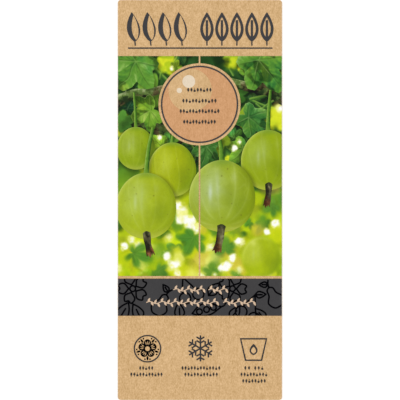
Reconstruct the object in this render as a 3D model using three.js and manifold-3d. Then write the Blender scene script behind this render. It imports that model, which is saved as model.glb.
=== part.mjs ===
// Printed plant label: a kraft board with rounded corners, lying face up, with its print as thin films.
// Millimetres. +X is the label's right, +Y its top edge, +Z out of its printed face.
// The origin is the middle of the board's underside.
//
// The films lie on the board in two layers. The lower one holds the picture's two halves, the disc, the
// dark band and all marks printed on bare board. The upper one holds what is printed on top of those.

import * as THREE from 'three';
import { mergeVertices } from 'three/addons/utils/BufferGeometryUtils.js';
import Module from 'manifold-3d';

const wasm = await Module();
wasm.setup();

// ---- driving dimensions --------------------------------------------------------------------------

const WIDTH = 61.5;
const HEIGHT = 150;
const BOARD = 0.5; // thickness of the board
const CORNER = 1.1; // radius of its corners
const FILM = 0.0625; // thickness of one film
const GAP = 0.3; // clearance between neighbouring films in one layer

const AXIS = -0.15; // x of the printed design's centre line
const PICTURE_TOP = 53.96;
const PICTURE_BOTTOM = -28.58;
const DIVIDER = 0.52; // bare board between the picture's halves
const BAND_TOP = -29.47;
const BAND_BOTTOM = -43.41;

const MEDALLION_Y = 35.86;
const RIM_RADIUS = 15.41; // bare board round the disc
const RING_RADIUS = 14.46; // outside of the dark ring, and of the disc under it
const RING_WIDTH = 0.49;
const ROUND_SIDES = 80; // sides of the medallion's circles
const GLOW = { x: -3.66, y: 41.14, radius: 8.14 }; // the lighter spot on the disc
const DOTS = [
  { name: 'medallion_dot_large', x: -4.18, y: 44.44, radius: 2.4 },
  { name: 'medallion_dot_small', x: -7.74, y: 41.06, radius: 0.98 },
];

const RULE = { left: -26.98, right: 27.21, y: 56.96, width: 0.43 };
const HEADER_Y = 64.9; // middle of the ornament's leaves
const HEADER_LEAF_HEIGHT = 11;
const FINE_LEAVES = { count: 4, first: -24.4, pitch: 5.86, width: 4.9, lean: -0.11 };
const BOLD_LEAVES = { count: 5, first: 2.62, pitch: 5.62, width: 5 };
const BOLD_STROKE = 1.3;
const STALK = { length: 1.5, width: 0.42 };

const LOWER = BOARD; // height of the lower layer
const UPPER = BOARD + FILM; // height of the upper layer

// ---- inks ----------------------------------------------------------------------------------------

const ink = (color, roughness) => new THREE.MeshStandardMaterial({ color, roughness, metalness: 0 });

const KRAFT = ink(0xd4af7f, 0.9);
const DARK = ink(0x464547, 0.7);
const BAND = ink(0x424142, 0.7);
const COPPER = ink(0xd09d70, 0.75);
const LIGHT = ink(0xe7d6bd, 0.75);
const TAN = ink(0xd9b898, 0.75);
const FOLIAGE = ink(0x3f7f2a, 0.45);
const LEAF = ink(0x58a02c, 0.45);
const BERRY = ink(0xa0b428, 0.45);
const BARK = ink(0x4a4030, 0.5);

// ---- outlines: closed lists of points, anticlockwise -----------------------------------------------

const point = (x, y) => new THREE.Vector2(x, y);

function rectangle(left, bottom, right, top) {
  return [point(left, bottom), point(right, bottom), point(right, top), point(left, top)];
}

function circle(x, y, radius, sides) {
  return Array.from({ length: sides }, (_, i) => {
    const angle = (2 * Math.PI * i) / sides;
    return point(x + radius * Math.cos(angle), y + radius * Math.sin(angle));
  });
}

function roundedRectangle(width, height, radius, steps = 6) {
  const corners = [[1, 1], [-1, 1], [-1, -1], [1, -1]];
  return corners.flatMap(([sx, sy], quarter) =>
    Array.from({ length: steps + 1 }, (_, i) => {
      const angle = ((quarter + i / steps) * Math.PI) / 2;
      const x = sx * (width / 2 - radius) + radius * Math.cos(angle);
      const y = sy * (height / 2 - radius) + radius * Math.sin(angle);
      return point(x, y);
    }),
  );
}

// A pointed leaf standing on its tip at y = 0, with its belly below the middle.
function pointedLeaf(width, height, steps = 10) {
  const side = (sign) =>
    Array.from({ length: steps }, (_, i) => {
      const t = i / steps;
      const along = sign > 0 ? t : 1 - t;
      return point((sign * width * Math.sin(Math.PI * along ** 0.8) ** 0.85) / 2, height * along);
    });
  return [...side(1), ...side(-1)];
}

// A ribbon of changing width along a smooth curve. width(t) runs from 0 at its first point to 1 at its last.
function ribbon(points, width, steps = 12) {
  const curve = new THREE.CatmullRomCurve3(points.map(([x, y]) => new THREE.Vector3(x, y, 0)));
  const side = (sign) =>
    Array.from({ length: steps + 1 }, (_, i) => {
      const t = i / steps;
      const here = curve.getPoint(t);
      const along = curve.getTangent(t);
      const reach = (sign * width(t)) / 2;
      return point(here.x + along.y * reach, here.y - along.x * reach);
    });
  return [...side(1), ...side(-1).reverse()];
}

// The outline turned about the origin and moved to (x, y).
function placed(outline, x, y, turn = 0) {
  return outline.map((p) => {
    const q = p.clone().rotateAround(point(0, 0), turn);
    return point(q.x + x, q.y + y);
  });
}

// The outline moved outwards by a distance, each corner along the mean of its two sides' normals.
function grown(outline, distance) {
  const count = outline.length;
  return outline.map((p, i) => {
    const before = p.clone().sub(outline[(i + count - 1) % count]).normalize();
    const after = outline[(i + 1) % count].clone().sub(p).normalize();
    const along = before.add(after).normalize();
    return point(p.x + along.y * distance, p.y - along.x * distance);
  });
}

// ---- films: outlines made solid --------------------------------------------------------------------

function plate(outline, z, thickness = FILM, holes = []) {
  const shape = new THREE.Shape(outline);
  holes.forEach((hole) => shape.holes.push(new THREE.Path([...hole].reverse())));
  const geometry = new THREE.ExtrudeGeometry(shape, { depth: thickness, bevelEnabled: false });
  return geometry.translate(0, 0, z);
}

function solidOf(geometry) {
  const bare = geometry.clone();
  bare.deleteAttribute('normal');
  bare.deleteAttribute('uv');
  const merged = mergeVertices(bare, 1e-5);
  const mesh = new wasm.Mesh({
    numProp: 3,
    vertProperties: merged.attributes.position.array,
    triVerts: new Uint32Array(merged.index.array),
  });
  return new wasm.Manifold(mesh);
}

function geometryOf(solid) {
  const mesh = solid.getMesh();
  const geometry = new THREE.BufferGeometry();
  geometry.setAttribute('position', new THREE.BufferAttribute(mesh.vertProperties, 3));
  geometry.setIndex(new THREE.BufferAttribute(mesh.triVerts, 1));
  geometry.computeVertexNormals();
  return geometry;
}

// The outlines joined into one film at height z.
function film(outlines, z) {
  return outlines.map((o) => solidOf(plate(o, z))).reduce((a, b) => a.add(b));
}

// The outlines joined into a shape for cutting films, which passes through both layers.
function cutter(outlines) {
  const reach = 4 * FILM; // how far it stands out below and above them
  return outlines
    .map((o) => solidOf(plate(o, LOWER - reach, 2 * FILM + 2 * reach)))
    .reduce((a, b) => a.add(b));
}

// The largest piece of a solid that a cut has divided: the loose scraps are dropped.
function largest(solid) {
  return solid.decompose().reduce((a, b) => (a.volume() > b.volume() ? a : b));
}

const label = new THREE.Group();

function add(name, geometry, material) {
  const mesh = new THREE.Mesh(geometry, material);
  mesh.name = name;
  label.add(mesh);
}

// ---- board -----------------------------------------------------------------------------------------

add('card', plate(roundedRectangle(WIDTH, HEIGHT, CORNER), 0, BOARD), KRAFT);

// ---- header: nine leaves over a rule ----------------------------------------------------------------

function stalkOutline() {
  return rectangle(-STALK.width / 2, -STALK.length, STALK.width / 2, STALK.length);
}

// A leaf drawn in one line that is broad on its left side and fine on its right.
function fineLeaf(x, y, { width, lean }) {
  const eye = pointedLeaf(0.52 * width, 0.84 * HEADER_LEAF_HEIGHT);
  const eyeLift = 0.06 * HEADER_LEAF_HEIGHT;
  const outer = film([pointedLeaf(width, HEADER_LEAF_HEIGHT)], LOWER);
  const inner = cutter([placed(eye, 0.12 * width, eyeLift)]);
  const leaf = outer.subtract(inner).add(film([stalkOutline()], LOWER));
  return leaf.warp((v) => {
    v[0] += lean * v[1];
  }).translate([x, y, 0]);
}

// A leaf drawn in one bold line, with a midrib of the same line.
function boldLeaf(x, y, { width }) {
  const outer = film([pointedLeaf(width, HEADER_LEAF_HEIGHT)], LOWER);
  const eye = pointedLeaf(width - 1.6 * BOLD_STROKE, HEADER_LEAF_HEIGHT - 2.6 * BOLD_STROKE);
  const ribHalf = 0.3 * BOLD_STROKE;
  const midrib = cutter([rectangle(-ribHalf, 0, ribHalf, 0.72 * HEADER_LEAF_HEIGHT)]);
  const inner = cutter([placed(eye, 0, 1.2 * BOLD_STROKE)]).subtract(midrib);
  return outer.subtract(inner).add(film([stalkOutline()], LOWER)).translate([x, y, 0]);
}

function header() {
  const foot = HEADER_Y - HEADER_LEAF_HEIGHT / 2;
  const rows = [[FINE_LEAVES, fineLeaf], [BOLD_LEAVES, boldLeaf]];
  let number = 0;
  rows.forEach(([row, make]) => {
    for (let i = 0; i < row.count; i++) {
      number += 1;
      add(`header_leaf_${number}`, geometryOf(make(row.first + i * row.pitch, foot, row)), DARK);
    }
  });
  const half = RULE.width / 2;
  add('header_rule', plate(rectangle(RULE.left, RULE.y - half, RULE.right, RULE.y + half), LOWER), DARK);
}

header();

// ---- picture: two halves round the medallion ---------------------------------------------------------

const halves = {
  left: rectangle(-WIDTH / 2, PICTURE_BOTTOM, AXIS - DIVIDER / 2, PICTURE_TOP),
  right: rectangle(AXIS + DIVIDER / 2, PICTURE_BOTTOM, WIDTH / 2, PICTURE_TOP),
};
const rim = cutter([circle(AXIS, MEDALLION_Y, RIM_RADIUS, ROUND_SIDES)]);

Object.entries(halves).forEach(([side, outline]) => {
  add(`picture_${side}`, geometryOf(film([outline], LOWER).subtract(rim)), FOLIAGE);
});

// A gooseberry: its body, widest a little below the middle, the stalk it hangs by and its dried flower.
function berryOutlines({ x, y, rx, ry, stalk, tail }) {
  const outlines = [circle(0, 0, 1, 36).map((p) => point(x + p.x * rx * (1 - 0.05 * p.y), y + p.y * ry))];
  if (stalk) {
    const top = y + ry;
    const middle = [x + 0.35 * stalk.x, top + 0.5 * stalk.length];
    const path = [[x, top - 0.8], middle, [x + stalk.x, top + stalk.length]];
    outlines.push(ribbon(path, (t) => rx * (0.2 - 0.1 * t ** 0.5), 6));
  }
  if (tail) {
    const foot = y - ry;
    const middle = [x + 0.4 * tail.x, foot - 0.4 * tail.length];
    const path = [[x, foot + 0.8], middle, [x + tail.x, foot - tail.length]];
    outlines.push(ribbon(path, (t) => tail.width * (1 - 0.15 * Math.sin(Math.PI * t)), 6));
  }
  return outlines;
}

// A leaf with five rounded lobes spread round the end of its stalk, which lies at (x, y). A leaf that
// is turned away from the eye looks less wide or less tall than it is.
const LOBES = [[0, 1, 0.5], [1, 0.88, 0.46], [-1, 0.88, 0.46], [2, 0.64, 0.46], [-2, 0.64, 0.46]];
const LEAF_HEART = 0.42; // radius of the part the lobes stand out of, as a share of the leaf's size

function lobedLeafOutlines({ x, y, size, turn, wide = 1, tall = 1 }) {
  const outline = circle(0, 0, 1, 44).map((p) => {
    const angle = Math.atan2(p.x, p.y);
    const lobes = LOBES.map(([at, length, width]) => {
      return (length - LEAF_HEART) * Math.exp(-(((angle - at) / width) ** 2));
    });
    const notch = 1 - 0.6 * Math.exp(-(((Math.abs(angle) - Math.PI) / 0.4) ** 2));
    const reach = size * (LEAF_HEART + Math.max(...lobes)) * notch;
    return point(p.x * reach * wide, p.y * reach * tall);
  });
  return [placed(outline, x, y, turn)];
}

// A woody twig that tapers to its end, with thorns at its buds.
function twigOutlines({ points, width, thorns }) {
  const stem = ribbon(points, (t) => width * (1 - 0.45 * t), 14);
  const spines = thorns.map(([x, y, turn, length]) => {
    return placed([point(-0.55, 0), point(0.55, 0), point(0, length)], x, y, turn);
  });
  return [stem, ...spines];
}

// In the order they lie over each other, the nearest first.
const BERRIES = [
  { name: 'berry_front', x: 8.3, y: 1.5, rx: 12.4, ry: 13.5,
    stalk: { x: -1.2, length: 9 }, tail: { x: -2, length: 7.4, width: 3.4 } },
  { name: 'berry_left', x: -20.2, y: -2.2, rx: 11.3, ry: 12.4,
    stalk: { x: 2.6, length: 17 }, tail: { x: 1.8, length: 6.2, width: 3.2 } },
  { name: 'berry_right', x: 25.5, y: 15, rx: 10.1, ry: 11.3,
    stalk: { x: 1, length: 15 }, tail: { x: -0.6, length: 6, width: 2.8 } },
  { name: 'berry_behind', x: -10.4, y: 11.4, rx: 9, ry: 10.2, stalk: { x: 0.6, length: 4 } },
  { name: 'berry_small', x: -24, y: 19.4, rx: 7.2, ry: 8, stalk: { x: -0.8, length: 13 } },
  { name: 'berry_far', x: 23, y: -21.4, rx: 8.2, ry: 8.6 },
];
const LEAVES = [
  { name: 'leaf_top_left', x: -24, y: 52, size: 14, turn: 2.6, tall: 0.9 },
  { name: 'leaf_top_right', x: 22, y: 52.5, size: 15, turn: -2.5, wide: 0.85 },
  { name: 'leaf_side_left', x: -18.5, y: 33.5, size: 10, turn: 2.0, tall: 0.8 },
  { name: 'leaf_side_right', x: 18.2, y: 31, size: 10.5, turn: -2.2, wide: 0.8 },
  { name: 'leaf_middle', x: 2.6, y: 20, size: 8.5, turn: 2.9, wide: 0.8 },
  { name: 'leaf_low_left', x: -25, y: -20, size: 9, turn: -1.9, wide: 0.85 },
  { name: 'leaf_low_middle', x: -2.5, y: -14, size: 9.5, turn: 2.7, tall: 0.85 },
];
const TWIGS = [
  { name: 'twig_left', width: 4.4, points: [[-32, 36.6], [-25, 39.6], [-18, 40.4], [-9, 43.5]],
    thorns: [[-27.5, 40, 0.3, 3.4], [-19.6, 41.4, -0.3, 3]] },
  { name: 'twig_right', width: 5, points: [[32, 37.6], [25, 41.4], [18, 42.4], [8, 45.5]],
    thorns: [[27.5, 41.4, -0.5, 3.6], [20, 42.2, 2.9, 3.2]] },
];
const GROWTH = [
  ...BERRIES.map((berry) => ({ name: berry.name, outlines: berryOutlines(berry), colour: BERRY })),
  ...LEAVES.map((leaf) => ({ name: leaf.name, outlines: lobedLeafOutlines(leaf), colour: LEAF })),
  ...TWIGS.map((twig) => ({ name: twig.name, outlines: twigOutlines(twig), colour: BARK })),
];

// Each shape keeps to its own half of the picture and stops GAP short of what lies over it.
function picture() {
  let covered = null;
  GROWTH.forEach(({ name, outlines, colour }) => {
    const whole = film(outlines, UPPER);
    const uncovered = covered ? whole.subtract(covered) : whole;
    const shadow = cutter(outlines.map((o) => grown(o, GAP)));
    covered = covered ? covered.add(shadow) : shadow;
    const pieces = Object.entries(halves)
      .map(([side, half]) => [side, uncovered.intersect(cutter([half])).subtract(rim)])
      .filter(([, piece]) => piece.volume() > 0.05 * whole.volume());
    pieces.forEach(([side, piece]) => {
      const full = pieces.length > 1 ? `${name}_${side}` : name;
      add(full, geometryOf(largest(piece)), colour);
    });
  });
}

picture();

// ---- medallion ---------------------------------------------------------------------------------------

function medallion() {
  const inside = RING_RADIUS - RING_WIDTH;
  const outer = circle(AXIS, MEDALLION_Y, RING_RADIUS, ROUND_SIDES);
  const inner = circle(AXIS, MEDALLION_Y, inside, ROUND_SIDES);
  add('medallion_disc', plate(outer, LOWER), COPPER);
  add('medallion_ring', plate(outer, UPPER, FILM, [inner]), DARK);

  const spots = DOTS.map((dot) => circle(dot.x, dot.y, dot.radius, 24));
  const glow = film([circle(GLOW.x, GLOW.y, GLOW.radius, 56)], UPPER)
    .intersect(cutter([circle(AXIS, MEDALLION_Y, inside - GAP, ROUND_SIDES)]))
    .subtract(cutter(spots.map((spot) => grown(spot, GAP))));
  add('medallion_glow', geometryOf(glow), KRAFT);
  DOTS.forEach((dot, i) => add(dot.name, plate(spots[i], UPPER), LIGHT));
}

medallion();

// ---- band with four garlands in two rows ----------------------------------------------------------------

add('band', plate(rectangle(-WIDTH / 2, BAND_BOTTOM, WIDTH / 2, BAND_TOP), LOWER), BAND);

const GARLANDS = [
  { name: 'band_garland_upper_left', left: -9.95, right: 1.8, y: -33.7, pairs: 5 },
  { name: 'band_garland_upper_right', left: 3.2, right: 10.3, y: -33.7, pairs: 3 },
  { name: 'band_garland_lower_left', left: -20.1, right: 6.9, y: -38.45, pairs: 11 },
  { name: 'band_garland_lower_right', left: 8.7, right: 20.7, y: -38.45, pairs: 5 },
];

// A waving stem with small leaves set by turns on its two sides.
function garland({ left, right, y, pairs }) {
  const pitch = (right - left) / pairs;
  const wave = 0.4;
  const crest = (x) => y + wave * Math.sin((Math.PI * (x - left)) / pitch);
  const steps = 3 * pairs;
  const path = Array.from({ length: steps + 1 }, (_, i) => {
    const x = left + (i * (right - left)) / steps;
    return [x, crest(x)];
  });
  const stem = ribbon(path, () => 0.36, steps);
  const leaves = Array.from({ length: 2 * pairs }, (_, i) => {
    const x = left + (i / 2 + 0.25) * pitch;
    const up = i % 2 === 0;
    const turn = up ? -0.5 : Math.PI + 0.5;
    return placed(pointedLeaf(0.95, 1.8, 3), x, crest(x), turn);
  });
  return film([stem, ...leaves], UPPER);
}

GARLANDS.forEach((row) => add(row.name, geometryOf(garland(row)), TAN));

// ---- symbols under the band ------------------------------------------------------------------------------

const STROKE = 0.42;
const SYMBOL_RADIUS = 5.14;

function blossomSymbol(x, y) {
  const outer = circle(x, y, SYMBOL_RADIUS, 48);
  const inner = circle(x, y, SYMBOL_RADIUS - STROKE, 48);
  add('symbol_ring', plate(outer, LOWER, FILM, [inner]), DARK);
  const petals = circle(0, 0, 1, 50).map((p) => {
    const angle = Math.atan2(p.x, p.y);
    return p.multiplyScalar(2.2 + 1.3 * Math.abs(Math.cos(2.5 * angle)) ** 0.7);
  });
  add('symbol_blossom', plate(placed(petals, x, y), LOWER, FILM, [circle(x, y, 0.9, 16)]), DARK);
}

function snowflakeSymbol(x, y) {
  const reach = 4.9;
  const half = 0.24;
  const barbLength = 1.7;
  const outlines = [];
  for (let arm = 0; arm < 6; arm++) {
    const turn = (arm * Math.PI) / 3;
    outlines.push(placed(rectangle(-half, 0, half, reach), x, y, turn));
    [0.42, 0.7].forEach((share) => {
      const foot = point(0, share * reach).rotateAround(point(0, 0), turn);
      [-1, 1].forEach((side) => {
        const barb = rectangle(-half, 0, half, barbLength);
        outlines.push(placed(barb, x + foot.x, y + foot.y, turn + (side * Math.PI) / 3));
      });
    });
  }
  add('symbol_snowflake', geometryOf(film(outlines, LOWER)), DARK);
}

function potSymbol(x, top, bottom) {
  const taper = (halfTop, halfBottom, inset) => [
    point(x - halfBottom, bottom + inset),
    point(x + halfBottom, bottom + inset),
    point(x + halfTop, top - inset),
    point(x - halfTop, top - inset),
  ];
  const wall = taper(5.1, 3.2, 0);
  const inside = taper(5.1 - 1.15 * STROKE, 3.2 - 0.85 * STROKE, STROKE);
  add('symbol_pot', plate(wall, LOWER, FILM, [inside]), DARK);
  const drop = pointedLeaf(3, 4.2, 12);
  const eye = pointedLeaf(3 - 2.4 * STROKE, 4.2 - 3.4 * STROKE, 12);
  const foot = (top + bottom) / 2 - 2.1;
  add('symbol_drop', plate(placed(drop, x, foot), LOWER, FILM, [placed(eye, x, foot + 1.2 * STROKE)]), DARK);
}

blossomSymbol(-19.67, -55.76);
snowflakeSymbol(0.18, -55.65);
potSymbol(20.1, -51.83, -60.3);

export default label;
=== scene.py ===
"""The looks of a printed kraft plant label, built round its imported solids.

Shapes are drawn flat, in millimetres on the label's face, and made into closed sheets that fill the
printed films of the solids. The picture is painted on its sheets by formula, one colour a vertex.
"""
import math
from typing import NamedTuple

import bpy
import numpy as np
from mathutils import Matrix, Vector
from mathutils.geometry import delaunay_2d_cdt


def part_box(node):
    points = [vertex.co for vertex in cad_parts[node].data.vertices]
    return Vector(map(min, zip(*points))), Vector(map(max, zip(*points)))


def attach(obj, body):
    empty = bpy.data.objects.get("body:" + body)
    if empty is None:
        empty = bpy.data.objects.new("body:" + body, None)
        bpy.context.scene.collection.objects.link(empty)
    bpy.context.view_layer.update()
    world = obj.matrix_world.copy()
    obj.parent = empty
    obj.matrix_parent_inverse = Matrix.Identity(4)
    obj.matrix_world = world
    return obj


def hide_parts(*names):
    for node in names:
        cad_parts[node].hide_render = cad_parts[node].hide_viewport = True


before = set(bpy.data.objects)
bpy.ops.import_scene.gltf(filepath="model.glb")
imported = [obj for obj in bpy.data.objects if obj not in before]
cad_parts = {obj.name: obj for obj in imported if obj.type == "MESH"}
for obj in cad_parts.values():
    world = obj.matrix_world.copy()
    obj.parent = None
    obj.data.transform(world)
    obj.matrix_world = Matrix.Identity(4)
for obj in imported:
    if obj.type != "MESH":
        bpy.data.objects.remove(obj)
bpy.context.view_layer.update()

MM = 0.001


# ---- places read from the solids, in millimetres ----

def box(node):
    low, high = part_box(node)
    return np.array(low) / MM, np.array(high) / MM


def middle(node):
    low, high = box(node)
    return (low + high)[:2] / 2


CARD_LOW, CARD_HIGH = box("card")
LOWER = CARD_HIGH[2]  # underside of the lower printed layer
UPPER = box("medallion_disc")[1][2]  # underside of the upper printed layer
TOP = box("medallion_ring")[1][2]
SPOT_TOP = UPPER + 0.6 * (TOP - UPPER)  # top of the medallion's glow and dots
PATTERN_TOP = UPPER + 0.4 * (TOP - UPPER)  # top of the band's line pattern
MEDALLION = middle("medallion_ring")
RING_RADIUS = (box("medallion_ring")[1][0] - box("medallion_ring")[0][0]) / 2

CORNER = 1.1  # radius of the board's corners
RIM_RADIUS = 15.41  # bare board round the medallion
RING_WIDTH = 0.49
EDGE = 0.05  # softening of the board's cut edges
CREEP = 0.04  # how far the ink of a fine mark has crept into the board past its outline


# ---- colours ----

LIGHT = 1.127  # how much brighter the studio makes a surface than its own colour
GLOSS = 0.0083  # what a surface's faint gloss adds to its colour, seen from above


def rgb(red, green, blue):
    """A colour as it should look, from 0 to 255 a channel."""
    return np.array([red, green, blue], float) / 255


def tones(*colours):
    return [rgb(*colour) for colour in colours]


def linear(colour, gloss=GLOSS):
    """The base colour that looks like this one under the studio's light."""
    c = np.clip(colour, 0, 1)
    value = np.where(c <= 0.04045, c / 12.92, ((c + 0.055) / 1.055) ** 2.4)
    return np.clip(value / LIGHT - gloss, 0.0, 1.0)


# ---- small mathematics ----

def smooth(low, high, value):
    """0 below low and 1 above high, or the other way round where low is the larger."""
    t = np.clip((value - low) / (high - low), 0, 1)
    return t * t * (3 - 2 * t)


def mix(a, b, share):
    share = np.asarray(share)[..., None]
    return a * (1 - share) + b * share


def scaled(colour, share):
    return colour * share[..., None]


def toned(three, light, low, high, start, end, most=1.0):
    """From the first of three tones to the second as light goes from low to high, and then from start to
    end to the third."""
    colour = mix(three[0], three[1], smooth(low, high, light))
    return mix(colour, three[2], most * smooth(start, end, light))


def bell(value, width):
    return np.exp(-((value / width) ** 2))


def lattice(ix, iy, seed):
    """A steady random number from 0 to 1 for each corner of a grid."""
    h = (ix * 374761393 + iy * 668265263 + seed * 974634777) & 0xFFFFFFFF
    h = ((h ^ (h >> 13)) * 1274126177) & 0xFFFFFFFF
    return ((h ^ (h >> 16)) & 0xFFFF) / 65535.0


def noise(x, y, seed=0):
    """Smooth random values from -1 to 1, one swing a unit."""
    ix, iy = np.floor(x).astype(np.int64), np.floor(y).astype(np.int64)
    fx, fy = x - ix, y - iy
    fx, fy = fx * fx * (3 - 2 * fx), fy * fy * (3 - 2 * fy)
    low = lattice(ix, iy, seed) * (1 - fx) + lattice(ix + 1, iy, seed) * fx
    high = lattice(ix, iy + 1, seed) * (1 - fx) + lattice(ix + 1, iy + 1, seed) * fx
    return 2 * (low * (1 - fy) + high * fy) - 1


def clouds(x, y, size, seed, octaves=4):
    """Noise over noise, from about -1 to 1, with its largest swings about size apart."""
    total, weight, full = 0, 1.0, 0
    for octave in range(octaves):
        total = total + weight * noise(x / size, y / size, seed + 31 * octave)
        full += weight
        weight *= 0.55
        size /= 2.03
    return total / full


def turned(points, angle):
    c, s = math.cos(angle), math.sin(angle)
    x, y = points[..., 0], points[..., 1]
    return np.stack([c * x - s * y, s * x + c * y], -1)


# ---- outlines: closed rings of points, in millimetres ----

def rectangle(left, bottom, right, top):
    return np.array([[left, bottom], [right, bottom], [right, top], [left, top]], float)


def around(angle, reach=1.0):
    """Points round the origin, each at its angle and so far out."""
    return np.stack([reach * np.cos(angle), reach * np.sin(angle)], -1)


def circle(centre, radius, sides=160):
    return centre + around(np.arange(sides) * (2 * math.pi / sides), radius)


def rounded(half, radius, steps=14):
    """A rectangle about the origin with round corners. half is half its width and half its height."""
    ring = []
    for quarter, signs in enumerate([(1, 1), (-1, 1), (-1, -1), (1, -1)]):
        angle = (quarter + np.linspace(0, 1, steps + 1)) * math.pi / 2
        ring.append((half - radius) * signs + around(angle, radius))
    return np.concatenate(ring)


def pointed_leaf(width, height, steps=40):
    """A pointed leaf standing on its tip at the origin, with its belly below the middle."""
    t = np.arange(steps) / steps

    def side(sign, along):
        return np.stack([sign * width * np.sin(math.pi * along ** 0.8) ** 0.85 / 2, height * along], -1)

    return np.concatenate([side(1, t), side(-1, 1 - t)])


def spline(points, count):
    """Points along a Catmull-Rom curve through the given ones."""
    p = np.asarray(points, float)
    p = np.concatenate([[2 * p[0] - p[1]], p, [2 * p[-1] - p[-2]]])
    u = np.linspace(0, len(p) - 3, count)
    i = np.minimum(u.astype(int), len(p) - 4)
    t = (u - i)[:, None]
    a, b, c, d = p[i], p[i + 1], p[i + 2], p[i + 3]
    square, cube = 2 * a - 5 * b + 4 * c - d, 3 * b - a - 3 * c + d
    return 0.5 * (2 * b + (c - a) * t + square * t ** 2 + cube * t ** 3)


def ribbon(path, width):
    """An outline round a path. width is a number or one number for each point of the path."""
    along = np.gradient(path, axis=0)
    along /= np.linalg.norm(along, axis=1, keepdims=True)
    side = np.stack([along[:, 1], -along[:, 0]], -1) * (np.broadcast_to(width, len(path)) / 2)[:, None]
    return np.concatenate([path + side, (path - side)[::-1]])


def stroke(points, width):
    """A drawn line with round ends, through the points."""
    count = 8 * len(points)
    path = spline(points, count)
    along = np.gradient(path, axis=0)
    start, end = math.atan2(*along[0][::-1]), math.atan2(*along[-1][::-1])
    half_turn = np.linspace(-math.pi / 2, math.pi / 2, 8)[1:-1]
    cap = around(end + half_turn, width / 2), around(start + math.pi + half_turn, width / 2)
    sides = ribbon(path, width)
    return np.concatenate([sides[:count], path[-1] + cap[0], sides[count:], path[0] + cap[1]])


def placed(ring, x, y, turn=0.0):
    return turned(ring, turn) + np.array([x, y])


# ---- areas and closed sheets ----

def winding(points, starts, ends):
    """How many times the directed edges go round each point."""
    x, y = points.T
    turns = np.zeros(len(points), int)
    for (x0, y0), (x1, y1) in zip(starts, ends):
        if y0 != y1:
            passed = ((y0 > y) != (y1 > y)) & (x < (x1 - x0) * (y - y0) / (y1 - y0) + x0)
            turns[passed] += 1 if y1 > y0 else -1
    return turns


def within(points, ring):
    """Which points a closed ring goes round, also where it laps over itself."""
    inside = np.zeros(len(points), bool)
    near = np.nonzero(((points >= ring.min(0)) & (points <= ring.max(0))).all(1))[0]
    inside[near] = winding(points[near], ring, np.roll(ring, -1, 0)) != 0
    return inside


def chopped(ring, step):
    """The ring with its long sides cut into steps."""
    out = []
    for a, b in zip(ring, np.roll(ring, -1, 0)):
        n = max(1, math.ceil(np.linalg.norm(b - a) / step))
        out.append(a + (b - a) * (np.arange(n) / n)[:, None])
    return np.concatenate(out)


def triangulate(points, edges):
    """Points, triangles, and each point's number among the given ones."""
    made = delaunay_2d_cdt([Vector(p) for p in points], edges, [], 0, 1e-6)
    numbers = np.array([given[0] if given else -1 for given in made[3]])
    return np.array([tuple(v) for v in made[0]]), np.array([f for f in made[2] if len(f) == 3]), numbers


def strewn(low, high, spacing, kept):
    """Evenly strewn points between two corners, except in the grid's cells that hold a kept one."""
    rows = np.arange(low[1], high[1], spacing * 0.866)
    x, y = np.meshgrid(np.arange(low[0], high[0], spacing), rows)
    x = x + (np.arange(len(rows)) % 2 * spacing / 2)[:, None]
    points = np.stack([x.ravel(), y.ravel()], -1)
    cells = [np.floor((p - low) / spacing).astype(np.int64) @ [1, 1 << 20] for p in (points, kept)]
    return points[~np.isin(*cells)]


def area(outlines, holes=(), clips=(), spacing=None):
    """Points and triangles of the outlines joined, less the holes, and inside every clip. With a spacing,
    points are strewn evenly inside it, so that it can be painted."""
    rings = [np.asarray(ring, float) for ring in (*outlines, *holes, *clips)]
    if spacing:
        rings = [chopped(ring, spacing) for ring in rings]
    drawn, cut = len(outlines), len(outlines) + len(holes)
    first = np.cumsum([0, *map(len, rings)]).tolist()
    edges = [(a, b) for i, j in zip(first, first[1:]) for a, b in zip(range(i, j), [*range(i + 1, j), i])]
    points = np.concatenate(rings)

    def chosen(p):
        inside = np.array([within(p, ring) for ring in rings])
        return inside[:drawn].any(0) & ~inside[drawn:cut].any(0) & inside[cut:].all(0)

    if spacing:
        low = np.max([np.min([r.min(0) for r in rings[:drawn]], 0), *(r.min(0) for r in rings[cut:])], 0)
        high = np.min([np.max([r.max(0) for r in rings[:drawn]], 0), *(r.max(0) for r in rings[cut:])], 0)
        more = strewn(low, high, spacing, points)
        points = np.concatenate([points, more[chosen(more)]])
    verts, triangles, _ = triangulate(points, edges)
    triangles = triangles[chosen(verts[triangles].mean(1))]
    used, again = np.unique(triangles, return_inverse=True)
    return verts[used], again.reshape(triangles.shape)


def edge_of(triangles):
    """The directed edges that have a triangle on their left side only."""
    directed = np.concatenate([triangles[:, [0, 1]], triangles[:, [1, 2]], triangles[:, [2, 0]]])
    code, other = (directed[:, a].astype(np.int64) << 32 | directed[:, 1 - a] for a in (0, 1))
    return directed[~np.isin(code, other)]


def piece(name, verts, faces):
    mesh = bpy.data.meshes.new(name)
    mesh.from_pydata((verts * MM).tolist(), [], faces)
    obj = bpy.data.objects.new(name, mesh)
    bpy.context.scene.collection.objects.link(obj)
    return obj


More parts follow.
